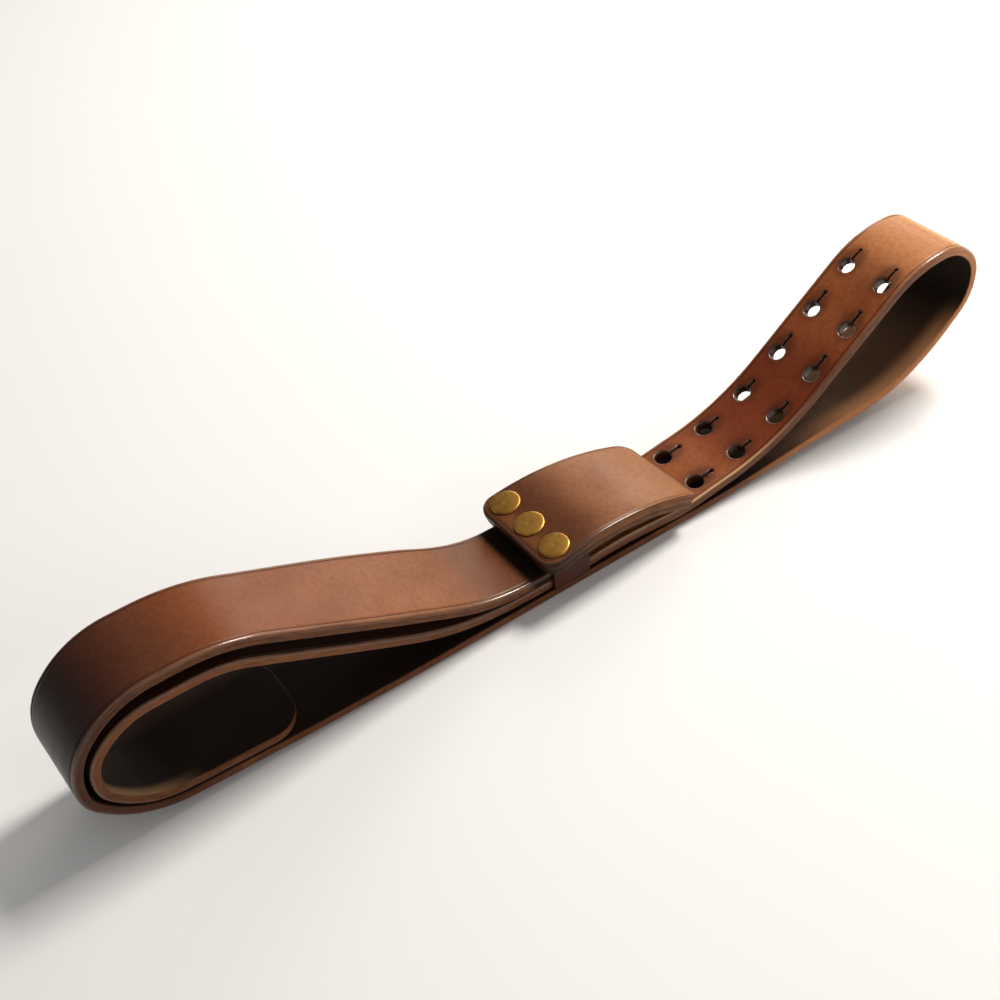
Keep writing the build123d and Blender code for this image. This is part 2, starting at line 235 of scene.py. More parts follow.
def rounded_route(points, radii, step):
    """Stations along a polyline with rounded corners: (x, z, tangent_x, tangent_z, distance)."""
    pieces = []
    here = Vector(points[0])
    for before, corner, after, radius in zip(points, points[1:], points[2:], radii):
        corner = Vector(corner)
        arrive = (corner - Vector(before)).normalized()
        leave = (Vector(after) - corner).normalized()
        turn = math.atan2(arrive.x * leave.y - arrive.y * leave.x, arrive.dot(leave))
        reach = radius * math.tan(abs(turn) / 2)
        pieces.append(("line", here, corner - arrive * reach))
        side = math.copysign(1.0, turn)
        start = corner - arrive * reach
        centre = start + Vector((-arrive.y, arrive.x)) * radius * side
        pieces.append(("arc", centre, start, turn))
        here = corner + leave * reach
    pieces.append(("line", here, Vector(points[-1])))
    stations = []
    distance = 0.0
    for piece in pieces:
        if piece[0] == "line":
            run = piece[2] - piece[1]
            count = max(1, round(run.length / step))
            tangent = run.normalized()
            for i in range(count):
                place = piece[1] + run * (i / count)
                at = distance + run.length * i / count
                stations.append((place.x, place.y, tangent.x, tangent.y, at))
            distance += run.length
        else:
            spoke = piece[2] - piece[1]
            length = spoke.length * abs(piece[3])
            count = max(2, round(length / step))
            for i in range(count):
                turned = spoke.copy()
                turned.rotate(Matrix.Rotation(piece[3] * i / count, 2))
                tangent = Vector((-turned.y, turned.x)).normalized() * math.copysign(1, piece[3])
                place = piece[1] + turned
                stations.append((place.x, place.y, tangent.x, tangent.y, distance + length * i / count))
            distance += length
    last = Vector(points[-1])
    tangent = (last - Vector(points[-2])).normalized()
    stations.append((last.x, last.y, tangent.x, tangent.y, distance))
    return stations


STATION_STEP = 1.25
STATIONS = rounded_route(ROUTE, ROUTE_RADII, STATION_STEP)
STRAP_LENGTH = STATIONS[-1][4]
LEFT_END = min(STATIONS, key=lambda s: s[0])[4]
RIGHT_END = max(STATIONS, key=lambda s: s[0])[4]
INNER_END = min((s for s in STATIONS if s[4] > RIGHT_END), key=lambda s: s[0])[4]
# The leather's own twist: how far a run's far edge is lifted above its near one, and how far both drop.
BOTTOM_LEAN = 4.6
BOTTOM_DROP = 0.8
ARM_LEAN = 5.0
ARM_DROP = 1.5
# Where along the strop, from its middle outwards, the twist of each run sets in and fades again.
BOTTOM_TWIST_LEFT = 70
BOTTOM_TWIST_RIGHT = 96
BOTTOM_TWIST_RISE = 42
BOTTOM_DROP_DELAY = 24
BOTTOM_TWIST_FADE = (172, 206)
ARM_TWIST_RISE = (27, 72)
ARM_TWIST_FADE = (84, 165)


def station_at(distance):
    """The station nearest to a distance along the strap, moved along its tangent to be exact."""
    x, z, tx, tz, at = min(STATIONS, key=lambda s: abs(s[4] - distance))
    ahead = distance - at
    return x + tx * ahead, z + tz * ahead, tx, tz


# ---- materials -----------------------------------------------------------------------------------
# Depths in metres of the reliefs that the bumps stand for.
GRAIN_DEPTH = 0.00012
CUT_FIBRE_DEPTH = 0.0001
BRASS_DEPTH = 0.00008


class Nodes:
    """Small builder of one material's node tree."""

    def __init__(self, name):
        self.material = bpy.data.materials.new(name)
        self.material.use_nodes = True
        self.tree = self.material.node_tree
        self.shader = self.tree.nodes["Principled BSDF"]

    def feed(self, socket, value):
        """Links a node's output to a socket, or sets the socket to a plain value."""
        if isinstance(value, bpy.types.NodeSocket):
            self.tree.links.new(value, socket)
        else:
            socket.default_value = value

    def add(self, kind, inputs=None, **settings):
        """New node with its inputs fed and its settings set."""
        node = self.tree.nodes.new(kind)
        for key, value in settings.items():
            setattr(node, key, value)
        for key, value in (inputs or {}).items():
            self.feed(node.inputs[key], value)
        return node

    def math(self, operation, *values, clamp=False):
        """Result of an arithmetic operation on one to three values."""
        node = self.add("ShaderNodeMath", dict(enumerate(values)), operation=operation, use_clamp=clamp)
        return node.outputs[0]

    def ramp(self, value, low, high, out_low=0.0, out_high=1.0):
        """Smooth step of a value between two limits."""
        node = self.add(
            "ShaderNodeMapRange",
            {"From Min": low, "From Max": high, "To Min": out_low, "To Max": out_high, "Value": value},
            interpolation_type="SMOOTHSTEP",
        )
        return node.outputs["Result"]

    def mix(self, factor, a, b, blend="MIX"):
        """Mix of two colours: the first where the factor is 0, the second where it is 1."""
        settings = {"data_type": "RGBA", "blend_type": blend, "clamp_result": True}
        node = self.add("ShaderNodeMix", {0: factor, 6: a, 7: b}, **settings)
        return node.outputs[2]

    def stain(self, base, top, mask, strength, blend="MIX"):
        """Base colour with another laid over it where the mask is 1, at a strength from 0 to 1."""
        return self.mix(self.math("MULTIPLY", mask, strength), base, top, blend)

    def noise(self, vector, scale, detail=3.0, roughness=0.55, distortion=0.0):
        """Noise from 0 to 1 over a place."""
        node = self.add(
            "ShaderNodeTexNoise",
            {
                "Vector": vector,
                "Scale": scale,
                "Detail": detail,
                "Roughness": roughness,
                "Distortion": distortion,
            },
        )
        return node.outputs["Fac"]

    def scaled(self, vector, scale):
        """Vector with each of its parts multiplied."""
        node = self.add("ShaderNodeVectorMath", {0: vector, 1: scale}, operation="MULTIPLY")
        return node.outputs[0]

    def link(self, source, socket):
        """Feeds a socket of the shader from a node's output."""
        self.tree.links.new(source, self.shader.inputs[socket])


def colour(red, green, blue):
    """Linear colour from display values 0 to 255."""
    linear = []
    for value in (red, green, blue):
        part = value / 255
        linear.append(part / 12.92 if part <= 0.04045 else ((part + 0.055) / 1.055) ** 2.4)
    return (*linear, 1.0)


def hump(nodes, value, start, full, fade, end):
    """1 between two values, fading to 0 on both sides of them."""
    rise = nodes.ramp(value, start, full)
    fall = nodes.ramp(value, fade, end)
    return nodes.math("SUBTRACT", rise, fall, clamp=True)


def grain_relief(nodes, place, pores, pebbles, waves):
    """Height from fine pores, pebbled grain and shallow unevenness, each with its own strength."""
    cells = nodes.add("ShaderNodeTexVoronoi", {"Vector": place, "Scale": 1500.0}, feature="F1").outputs[0]
    pore_dots = nodes.ramp(cells, 0.05, 0.45)
    pebble = nodes.noise(place, 620.0, 4.0, 0.6)
    wave = nodes.noise(place, 70.0, 2.0, 0.5)
    fine = nodes.math("MULTIPLY", pore_dots, pores)
    middle = nodes.math("MULTIPLY_ADD", pebble, pebbles, fine)
    return nodes.math("MULTIPLY_ADD", wave, waves, middle)


def bumped(nodes, height, strength, distance):
    """Uses a height as the shader's bump."""
    bump = nodes.add("ShaderNodeBump", {"Height": height, "Strength": strength, "Distance": distance})
    nodes.link(bump.outputs[0], "Normal")


def waxy_surface(nodes, polish):
    """Weak, warm reflection under a thin coat of wax, whose weight is a number or a node's output."""
    nodes.shader.inputs["Specular IOR Level"].default_value = 0.16
    nodes.shader.inputs["Specular Tint"].default_value = (1.0, 0.84, 0.68, 1.0)
    nodes.shader.inputs["Coat Roughness"].default_value = 0.16
    nodes.feed(nodes.shader.inputs["Coat Weight"], polish)


def maps(nodes):
    """Distance along and across the leather, distance in from its edge and height, in decimetres."""
    surface = nodes.add("ShaderNodeUVMap", uv_map="strap_map").outputs["UV"]
    section = nodes.add("ShaderNodeUVMap", uv_map="section_map").outputs["UV"]
    split_surface = nodes.add("ShaderNodeSeparateXYZ", {0: surface}).outputs
    split_section = nodes.add("ShaderNodeSeparateXYZ", {0: section}).outputs
    return surface, split_surface[0], split_surface[1], split_section[0], split_section[1]


def burnished_edge(nodes, along, height, dark, light):
    """Edge of the leather: polished fibres in streaks that run along it, and grains of dark dressing."""
    stretched = {"X": nodes.math("MULTIPLY", along, 14.0), "Y": nodes.math("MULTIPLY", height, 110.0)}
    layers = nodes.add("ShaderNodeCombineXYZ", stretched).outputs[0]
    streak = nodes.noise(layers, 1.0, 4.0, 0.6)
    grit = nodes.noise(layers, 9.0, 3.0, 0.7)
    edge = nodes.mix(nodes.ramp(streak, 0.2, 0.8), dark, light)
    return nodes.mix(nodes.ramp(grit, 0.48, 0.7, 0.0, 0.5), edge, dark)


def hole_halo(nodes, along, across):
    """1 at every keyhole, fading to 0 about 4 mm outside it."""
    pitch = HOLE_PITCH * MAP_SCALE
    first = FIRST_HOLE_AT * MAP_SCALE
    count = nodes.math("MULTIPLY_ADD", along, 1 / pitch, 0.5 - first / pitch)
    from_hole = nodes.math("MULTIPLY_ADD", nodes.math("FRACT", count), pitch, 0.025 - pitch / 2)
    sideways = nodes.math("SUBTRACT", nodes.math("ABSOLUTE", across), HOLE_SPACING / 2 * MAP_SCALE)
    stretched = nodes.math("MULTIPLY", from_hole, 0.72)
    squares = nodes.math("MULTIPLY_ADD", stretched, stretched, nodes.math("MULTIPLY", sideways, sideways))
    near = nodes.ramp(nodes.math("SQRT", squares), 0.034, 0.078, 1.0, 0.0)
    last = first + (HOLE_PAIRS - 1) * pitch
    in_row = hump(nodes, along, first - 0.12, first - 0.10, last + 0.10, last + 0.12)
    return nodes.math("MULTIPLY", near, in_row)


def strap_leather():
    """Waxed strap: antiqued grain side, glossy burnished edges and a dark, fibrous flesh side, with
    painted shade and painted light in places.

    Layer "strap_map" holds (distance along the strap, distance across it) and layer "section_map"
    holds (distance in from the nearer edge, height above the middle of the thickness), in decimetres.
    """
    nodes = Nodes("strap_leather")
    place = nodes.add("ShaderNodeTexCoord").outputs["Object"]
    surface, along, across, inset, height = maps(nodes)
    mottle = nodes.noise(place, 30.0, 4.0, 0.6, 0.4)
    cloud = nodes.noise(place, 11.0, 3.0, 0.55)
    speckle = nodes.noise(place, 520.0, 3.0, 0.65)
    wander = nodes.math("MULTIPLY_ADD", cloud, 0.30, along)

    # Grain side: tan arm; left bend darkening to near-black, partly dark dye and partly painted shade;
    # pale right crest, partly paler leather and partly painted highlight; red-brown keyhole run; tail
    # darkened by painted shade.
    grain = nodes.mix(nodes.ramp(mottle, 0.3, 0.7), colour(128, 74, 40), colour(148, 90, 52))
    # Partly dark dye and partly painted shade: the grain darkens through amber and brown to near-black
    # round the left bend, which turns away from the light.
    amber_dye_and_shade = hump(nodes, wander, 1.20, 1.66, 1.84, 2.10)
    grain = nodes.stain(grain, colour(126, 66, 32), amber_dye_and_shade, 0.85)
    bend_brown_dye_and_shade = hump(nodes, wander, 1.66, 2.06, 3.2, 5.2)
    grain = nodes.mix(bend_brown_dye_and_shade, grain, colour(84, 44, 28))
    bend_black_dye_and_shade = hump(nodes, wander, 2.0, 2.34, 2.78, 3.3)
    grain = nodes.stain(grain, colour(28, 13, 12), bend_black_dye_and_shade, 0.95)
    # Partly paler leather and partly painted highlight: the crest is pale, and its outer side, turned to
    # the light, is painted lightest.
    crest = hump(nodes, wander, 6.46, 7.08, 7.6, 8.0)
    outwards = nodes.ramp(along, 7.16, 7.42, 1.0, 0.0)
    crest_pale_and_lit = nodes.mix(outwards, colour(186, 120, 74), colour(240, 194, 140))
    grain = nodes.mix(crest, grain, crest_pale_and_lit)
    holes_run = hump(nodes, wander, 7.66, 8.06, 9.1, 9.44)
    red_brown = nodes.mix(nodes.ramp(mottle, 0.32, 0.68), colour(118, 58, 28), colour(146, 80, 42))
    grain = nodes.mix(holes_run, grain, red_brown)
    deep = hump(nodes, wander, 8.10, 8.44, 8.72, 9.02)
    deep_blot = nodes.math("MULTIPLY", deep, nodes.ramp(cloud, 0.36, 0.6, 0.35, 0.85))
    grain = nodes.mix(deep_blot, grain, colour(110, 46, 24))
    # Painted shade: the tail's grain, which lies in the gaps under the arm, is darkened.
    tail_gap_shade = nodes.ramp(along, 9.59, 9.79)
    grain = nodes.mix(tail_gap_shade, grain, colour(54, 31, 22))

    # Painted shade on the arm beside the plate and a painted shadow under the plate's left end, dressing
    # round the keyholes, fine speckle, and the margin's dark crease and outer slope.
    # Painted shade on the arm, fading away from the plate.
    plate_shade_paint = nodes.ramp(along, 0.30, 0.62, 1.0, 0.0)
    grain = nodes.stain(grain, colour(84, 46, 28), plate_shade_paint, 0.6)
    # Painted shadow: a near-black band on the arm under the plate's left end, also made rougher.
    plate_shadow_paint = nodes.ramp(along, 0.200, 0.220, 1.0, 0.0)
    grain = nodes.stain(grain, colour(12, 6, 4), plate_shadow_paint, 0.95)
    grain = nodes.stain(grain, colour(64, 28, 14), hole_halo(nodes, along, across), 0.6)
    worn = nodes.mix(1.0, grain, colour(190, 172, 160), "MULTIPLY")
    grain = nodes.mix(nodes.ramp(speckle, 0.38, 0.72, 0.0, 0.4), grain, worn)
    groove = hump(nodes, inset, 0.0172, 0.0198, 0.0222, 0.0258)
    grain = nodes.stain(grain, colour(42, 20, 13), groove, 0.8)
    margin = nodes.ramp(inset, 0.003, 0.016, 1.0, 0.0)
    grain = nodes.stain(grain, colour(74, 42, 27), margin, 0.6)

    # Painted highlight: a pale line along the outer rim stands in for glints, strongest among the
    # keyholes.
    rim_highlight_paint = hump(nodes, inset, 0.001, 0.004, 0.008, 0.013)
    rim_highlight_run = nodes.math("MULTIPLY_ADD", hump(nodes, along, 8.3, 8.8, 9.4, 9.6), 0.6, 0.12)
    uneven = nodes.math("MULTIPLY", rim_highlight_run, nodes.ramp(mottle, 0.25, 0.6))
    grain = nodes.mix(nodes.math("MULTIPLY", rim_highlight_paint, uneven), grain, colour(228, 182, 130))

    # Edge: dark round the left bend, partly dark dye and partly painted shade; near-black painted shade at
    # the plate; painted light makes it paler inside the left loop and round the right bend.
    edge = burnished_edge(nodes, along, height, colour(66, 34, 18), colour(122, 72, 40))
    # Partly dark dye and partly painted shade round the left bend.
    bend_edge_dye_and_shade = hump(nodes, wander, 1.9, 2.3, 2.9, 3.3)
    edge = nodes.stain(edge, colour(44, 23, 14), bend_edge_dye_and_shade, 0.55)
    # Painted shade: the edge is near-black under the plate's left end.
    plate_edge_shade_paint = nodes.ramp(along, 0.18, 0.25, 1.0, 0.0)
    edge = nodes.stain(edge, colour(14, 8, 6), plate_edge_shade_paint, 0.9)
    # Painted light: the tail's edge inside the left loop is made paler.
    inner_edge_light_paint = hump(nodes, along, 10.2, 10.9, 11.6, 12.0)
    edge = nodes.stain(edge, colour(92, 54, 30), inner_edge_light_paint, 0.55, "ADD")
    # Painted light: the edge round the right bend is made paler.
    right_bend_edge_light_paint = hump(nodes, wander, 5.5, 6.2, 7.4, 7.8)
    edge = nodes.stain(edge, colour(176, 118, 76), right_bend_edge_light_paint, 0.8, "ADD")

    # Flesh side: dark dressing, with painted light that makes it paler on the right loop's floor and on
    # two stretches of its near margin, one in each loop.
    fibre = nodes.noise(place, 900.0, 4.0, 0.7)
    patch = nodes.noise(place, 24.0, 5.0, 0.62, 0.3)
    flesh = nodes.mix(nodes.ramp(fibre, 0.3, 0.7), colour(20, 11, 8), colour(34, 20, 15))
    # Painted light: the right loop's floor is painted paler, with paler blotches over it.
    painted_light_zone = hump(nodes, wander, 5.6, 6.1, 6.7, 7.1)
    flesh = nodes.stain(flesh, colour(96, 68, 47), painted_light_zone, 0.8)
    patches = nodes.math("MULTIPLY", nodes.ramp(patch, 0.56, 0.72), painted_light_zone)
    flesh = nodes.stain(flesh, colour(122, 98, 74), patches, 0.6)
    near_side = nodes.ramp(across, 0.04, -0.06)
    at_margin = nodes.math("MULTIPLY", nodes.ramp(inset, 0.012, 0.10, 1.0, 0.0), near_side)
    # Painted light on the near margin inside the right loop.
    lit_margin = nodes.math("MULTIPLY", at_margin, hump(nodes, wander, 5.95, 6.45, 6.8, 7.12))
    flesh = nodes.stain(flesh, colour(214, 150, 104), lit_margin, 0.95)
    near_rim = nodes.math("MULTIPLY", nodes.ramp(inset, 0.012, 0.055, 1.0, 0.0), near_side)
    # Painted light: a glow reflected from the floor, on the near margin at the bottom of the left loop.
    bend_glow_paint = nodes.math("MULTIPLY", near_rim, hump(nodes, along, 11.80, 11.98, 12.14, 12.36))
    flesh = nodes.stain(flesh, colour(150, 116, 84), bend_glow_paint, 0.85)

    on_grain = nodes.ramp(height, 0.0150, 0.0190)
    on_flesh = nodes.ramp(height, -0.0165, -0.0205)
    base = nodes.mix(on_grain, edge, grain)
    nodes.link(nodes.mix(on_flesh, base, flesh), "Base Color")

    # Gloss: waxed grain and edges, dull flesh side.
    smear = nodes.noise(place, 48.0, 4.0, 0.6)
    waxed = nodes.ramp(smear, 0.3, 0.75, 0.33, 0.46)
    dull = nodes.math("MULTIPLY_ADD", plate_shadow_paint, 0.45, waxed)
    nodes.link(nodes.math("MULTIPLY_ADD", on_flesh, 0.36, dull), "Roughness")
    glossy_rim = nodes.ramp(inset, 0.008, 0.018, 0.9, 0.04)
    dull_side = nodes.ramp(height, 0.004, 0.016)
    waxy_surface(nodes, nodes.math("MULTIPLY", glossy_rim, dull_side))

    relief = grain_relief(nodes, place, 0.25, 0.55, 1.2)
    # Fine transverse wrinkles where the strap has been flexed, among the keyholes.
    flat = nodes.scaled(surface, (90.0, 9.0, 1.0))
    wrinkle = nodes.noise(flat, 2.2, 3.0, 0.6, 0.6)
    relief = nodes.math("MULTIPLY_ADD", nodes.math("MULTIPLY", wrinkle, holes_run), 1.5, relief)
    relief = nodes.math("MULTIPLY_ADD", nodes.math("MULTIPLY", fibre, on_flesh), 2.2, relief)
    bumped(nodes, relief, 0.24, GRAIN_DEPTH)
    return nodes.material


def cover_leather():
    """Top ply: waxed tan face, antiqued beside the rivets, with a creased and burnished margin, painted
    sheen on its right part and painted shade at its left end.
    """
    nodes = Nodes("cover_leather")
    place = nodes.add("ShaderNodeTexCoord").outputs["Object"]
    _, along, across, inset, height = maps(nodes)
    mottle = nodes.noise(place, 30.0, 4.0, 0.6, 0.4)
    cloud = nodes.noise(place, 14.0, 3.0, 0.55)
    speckle = nodes.noise(place, 520.0, 3.0, 0.65)
    face = nodes.mix(nodes.ramp(mottle, 0.3, 0.7), colour(128, 77, 44), colour(148, 94, 57))
    wander = nodes.math("MULTIPLY_ADD", cloud, 0.10, along)
    antique = hump(nodes, wander, 0.05, 0.17, 0.22, 0.46)
    face = nodes.stain(face, colour(78, 38, 22), antique, 0.85)
    # Painted sheen: the plate's right part is painted paler.
    painted_light_zone = nodes.ramp(wander, 0.46, 0.66)
    face = nodes.stain(face, colour(166, 112, 72), painted_light_zone, 0.5)
    # Painted shade: the face darkens towards the left end, which turns away from the light.
    end = nodes.ramp(along, 0.0, 0.07, 1.0, 0.0)
    face = nodes.stain(face, colour(66, 36, 23), end, 0.8)
    worn = nodes.mix(1.0, face, colour(190, 174, 164), "MULTIPLY")
    face = nodes.mix(nodes.ramp(speckle, 0.38, 0.72, 0.0, 0.4), face, worn)
    groove = hump(nodes, inset, 0.0150, 0.0175, 0.0195, 0.0230)
    face = nodes.stain(face, colour(52, 27, 17), groove, 0.55)
    margin = nodes.ramp(inset, 0.004, 0.012, 1.0, 0.0)
    face = nodes.stain(face, colour(48, 25, 15), margin, 0.85)
    edge = burnished_edge(nodes, along, height, colour(76, 40, 20), colour(146, 88, 46))
    # Painted shade: the edge darkens towards the left end, which turns away from the light.
    left_end_shade_paint = nodes.ramp(along, 0.04, 0.34, 1.0, 0.0)
    edge = nodes.stain(edge, colour(20, 10, 8), left_end_shade_paint, 0.85)
    base = nodes.mix(nodes.ramp(height, 0.0105, 0.0150), edge, face)
    right_rim = nodes.math("MULTIPLY", nodes.ramp(along, 0.762, 0.768), margin)
    nodes.link(nodes.stain(base, colour(40, 20, 12), right_rim, 0.8), "Base Color")
    smear = nodes.noise(place, 48.0, 4.0, 0.6)
    nodes.link(nodes.ramp(smear, 0.3, 0.75, 0.30, 0.43), "Roughness")
    glossy_rim = nodes.ramp(inset, 0.008, 0.018, 0.9, 0.04)
    near_side = nodes.math("MULTIPLY", nodes.ramp(across, 0.0, -0.1), nodes.ramp(height, 0.007, 0.013))
    waxy_surface(nodes, nodes.math("MULTIPLY", glossy_rim, near_side))
    bumped(nodes, grain_relief(nodes, place, 0.25, 0.55, 1.4), 0.24, GRAIN_DEPTH)
    return nodes.material


def backing_leather():
    """Lower ply: burnished edge, darker towards its bottom, and a fibrous flesh side."""
    nodes = Nodes("backing_leather")
    place = nodes.add("ShaderNodeTexCoord").outputs["Object"]
    _, along, _, _, height = maps(nodes)
    edge = burnished_edge(nodes, along, height, colour(56, 29, 15), colour(122, 74, 40))
    # Painted shade: the edge darkens towards the left end, which turns away from the light.
    left_end_shade_paint = nodes.ramp(along, 0.04, 0.38, 1.0, 0.0)
    edge = nodes.stain(edge, colour(24, 13, 10), left_end_shade_paint, 0.85)
    fibre = nodes.noise(place, 900.0, 4.0, 0.7)
    flesh = nodes.mix(nodes.ramp(fibre, 0.3, 0.7), colour(32, 20, 16), colour(52, 34, 27))
    nodes.link(nodes.mix(nodes.ramp(height, -0.0120, -0.0165), edge, flesh), "Base Color")
    smear = nodes.noise(place, 48.0, 4.0, 0.6)
    nodes.link(nodes.ramp(smear, 0.3, 0.75, 0.30, 0.44), "Roughness")
    waxy_surface(nodes, 0.0)
    bumped(nodes, grain_relief(nodes, place, 0.25, 0.6, 1.2), 0.26, GRAIN_DEPTH)
    return nodes.material


def keeper_leather():
    """Thin burnished band, redder and darker than the plate."""
    nodes = Nodes("keeper_leather")
    place = nodes.add("ShaderNodeTexCoord").outputs["Object"]
    mottle = nodes.noise(place, 60.0, 4.0, 0.6, 0.4)
    base = nodes.mix(nodes.ramp(mottle, 0.3, 0.7), colour(44, 15, 8), colour(70, 27, 15))
    nodes.link(base, "Base Color")
    nodes.link(nodes.ramp(mottle, 0.3, 0.7, 0.28, 0.40), "Roughness")
    waxy_surface(nodes, 0.0)
    bumped(nodes, grain_relief(nodes, place, 0.25, 0.6, 0.8), 0.28, GRAIN_DEPTH)
    return nodes.material


def hole_leather():
    """Cut walls of the keyholes: raw, compressed fibres stained by dressing."""
    nodes = Nodes("hole_leather")
    place = nodes.add("ShaderNodeTexCoord").outputs["Object"]
    fibre = nodes.noise(place, 700.0, 4.0, 0.7)
    base = nodes.mix(nodes.ramp(fibre, 0.3, 0.7), colour(42, 22, 14), colour(82, 48, 30))
    nodes.link(base, "Base Color")
    nodes.shader.inputs["Roughness"].default_value = 0.34
    nodes.shader.inputs["Coat Weight"].default_value = 0.2
    nodes.shader.inputs["Coat Roughness"].default_value = 0.2
    bumped(nodes, fibre, 0.25, CUT_FIBRE_DEPTH)
    return nodes.material


def aged_brass(name, light, dark, rough_low, rough_high):
    """Brass with tarnish in soft patches, fine rubbing marks and uneven polish."""
    nodes = Nodes(name)
    place = nodes.add("ShaderNodeTexCoord").outputs["Object"]
    tarnish = nodes.noise(place, 210.0, 4.0, 0.6, 0.4)
    fine = nodes.noise(place, 1500.0, 3.0, 0.6)
    nodes.link(nodes.mix(nodes.ramp(tarnish, 0.36, 0.66), light, dark), "Base Color")
    nodes.link(nodes.ramp(tarnish, 0.35, 0.65, rough_low, rough_high), "Roughness")
    nodes.shader.inputs["Metallic"].default_value = 1.0
    bumped(nodes, nodes.math("MULTIPLY_ADD", tarnish, 0.3, fine), 0.05, BRASS_DEPTH)
    return nodes.material


def floor_material():
    """Plain pale floor with the faintest mottling."""
    nodes = Nodes("floor_white")
    place = nodes.add("ShaderNodeTexCoord").outputs["Object"]
    mottle = nodes.noise(place, 6.0, 2.0, 0.5)
    nodes.link(nodes.mix(mottle, (0.90, 0.90, 0.90, 1.0), (0.93, 0.93, 0.93, 1.0)), "Base Color")
    nodes.shader.inputs["Roughness"].default_value = 0.7
    return nodes.material


# ---- strap ---------------------------------------------------------------------------------------
# The last stretch before each end, over which the strap is thinned.
END_THINNED = 1.2
# Edges shorter than this are slivers.
SLIVER = 0.004


def strap_section(half_width):
    """Closed section as (across, height, inset), from the middle of the grain side and round."""
    top = STRAP_THICKNESS / 2
    margin = [
        (3.4, top),
        (2.55, top),
        (2.3, top - 0.16),
        (2.08, top - 0.17),
        (1.85, top - 0.03),
        (1.3, top - 0.04),
        (0.8, top - 0.14),
        (0.4, top - 0.38),
        (0.13, top - 0.78),
        (0.0, top - 1.35),
        (0.0, 0.0),
        (0.0, -top + 1.0),
        (0.12, -top + 0.5),
        (0.4, -top + 0.18),
        (0.8, -top + 0.03),
        (1.4, -top),
        (3.4, -top),
    ]
    columns = 7
    between = half_width - margin[0][0]
    section = []
    for side in (1, -1):
        edge = [(side * (half_width - inset), height, inset) for inset, height in margin]
        inner = [between * i / columns for i in range(columns)]
        grain = [(side * across, top, half_width - across) for across in inner]
        flesh = [(side * across, -top, half_width - across) for across in inner]
        if side > 0:
            section += grain + edge + flesh[::-1]
        else:
            section += (flesh + edge[::-1] + grain[::-1])[1:-1]
    return section


def tip_half_width(to_end):
    """Half width of the rounded tip at a distance from its end."""
    full = STRAP_WIDTH / 2
    if to_end >= TIP_LENGTH:
        return full
    lift = 1 - to_end / TIP_LENGTH
    return TIP_FLAT_HALF + (full - TIP_FLAT_HALF) * math.sqrt(max(0.0, 1 - lift * lift))


def smooth_step(value, low, high):
    """0 up to the low limit, 1 from the high one, and a smooth rise between them."""
    share = min(1.0, max(0.0, (value - low) / (high - low)))
    return share * share * (3 - 2 * share)


def lean(x, at, across):
    """How far the leather's own twist lifts a point of the strap that lies at x."""
    far_share = (across + STRAP_WIDTH / 2) / STRAP_WIDTH
    reach = abs(x)
    if LEFT_END < at < RIGHT_END or at > INNER_END:
        start = BOTTOM_TWIST_LEFT if x < 0 else BOTTOM_TWIST_RIGHT
        drop_start = start + BOTTOM_DROP_DELAY
        fade = 1 - smooth_step(reach, *BOTTOM_TWIST_FADE)
        raised = BOTTOM_LEAN * far_share * smooth_step(reach, start, start + BOTTOM_TWIST_RISE)
        lowered = BOTTOM_DROP * smooth_step(reach, drop_start, drop_start + BOTTOM_TWIST_RISE)
        return fade * (raised - lowered)
    if x < 0:
        rise = smooth_step(-x, *ARM_TWIST_RISE) * (1 - smooth_step(-x, *ARM_TWIST_FADE))
        return rise * (ARM_LEAN * far_share - ARM_DROP)
    return 0.0


def make_strap():
    """Section swept along the stations, with the tip rounded and both ends thinned and closed."""
    verts = []
    strap_map = []
    section_map = []
    rings = []
    # Closer stations where the tip narrows fastest.
    stations = [s for s in STATIONS if STRAP_LENGTH - s[4] > END_THINNED + 0.1]
    end_x, end_z, end_tx, end_tz, _ = STATIONS[-1]
    for to_end in (END_THINNED, 0.8, 0.5, 0.25, 0.1, 0.0):
        x, z = end_x - end_tx * to_end, end_z - end_tz * to_end
        stations.append((x, z, end_tx, end_tz, STRAP_LENGTH - to_end))
    for x, z, tx, tz, at in stations:
        to_end = STRAP_LENGTH - at
        nearest_end = min(to_end, at)
        squeeze = 1.0
        if nearest_end < END_THINNED:
            squeeze = 1 - 0.45 * (1 - nearest_end / END_THINNED) ** 2
        ring = []
        for across, height, inset in strap_section(tip_half_width(to_end)):
            raised = height * squeeze
            ring.append(len(verts))
            lifted = z - tx * raised + lean(x, at, across)
            verts.append((x + tz * raised, across, lifted))
            strap_map.append((at * MAP_SCALE, across * MAP_SCALE))
            section_map.append((min(inset, nearest_end + 0.3) * MAP_SCALE, height * MAP_SCALE))
        rings.append(ring)
    # Each end is closed by one flat face.
    faces = band_faces(rings) + [rings[0], rings[-1][::-1]]
    return new_object("leather_strap", verts, faces, {"strap_map": strap_map, "section_map": section_map})


def keyhole_placement(distance, y):
    """Frame of a keyhole: x points back along the strap and z out of its grain side."""
    x, z, tx, tz = station_at(distance)
    outward = Vector((tz, 0, -tx))
    back = Vector((-tx, 0, -tz))
    return placement_matrix(back, outward.cross(back), outward, (x, y, z))


def add_prism(bm, outline_at, heights, placement):
    """Closed tube through outlines at several heights, with both ends filled."""
    rings = []
    for height in heights:
        ring = [bm.verts.new(placement @ Vector((px, py, height)) * MM) for px, py in outline_at(height)]
        rings.append(ring)
    for corners in band_faces(rings) + [rings[0][::-1], rings[-1]]:
        bm.faces.new(corners)


